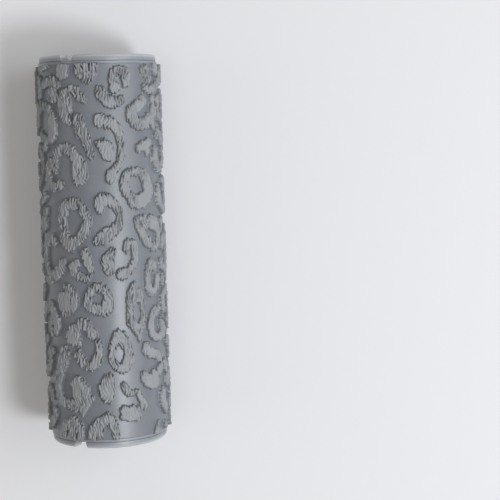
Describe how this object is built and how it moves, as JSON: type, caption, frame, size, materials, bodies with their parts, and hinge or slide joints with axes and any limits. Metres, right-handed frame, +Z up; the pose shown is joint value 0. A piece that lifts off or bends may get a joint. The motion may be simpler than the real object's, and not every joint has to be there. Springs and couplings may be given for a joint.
{
  "type": "clay texture roller",
  "caption": "Hollow hand roller with a raised leopard-skin pattern that presses its texture into soft clay; a notched collar plugs into each end of the sleeve.",
  "frame": {"origin": "middle of the roller, on its axis", "axes": "+Y along the roller's axis, +Z up, +X to the right; the roller lies on its side"},
  "size_m": [0.0328, 0.1, 0.0328],
  "materials": {
    "sleeve_resin": "satin cured resin, paler and hairy on the raised marks",
    "collar_resin": "satin cured resin"
  },
  "bodies": {
    "root": {"textured_sleeve": "sleeve_resin", "far_end_collar": "collar_resin", "near_end_collar": "collar_resin"}
  },
  "joints": []
}
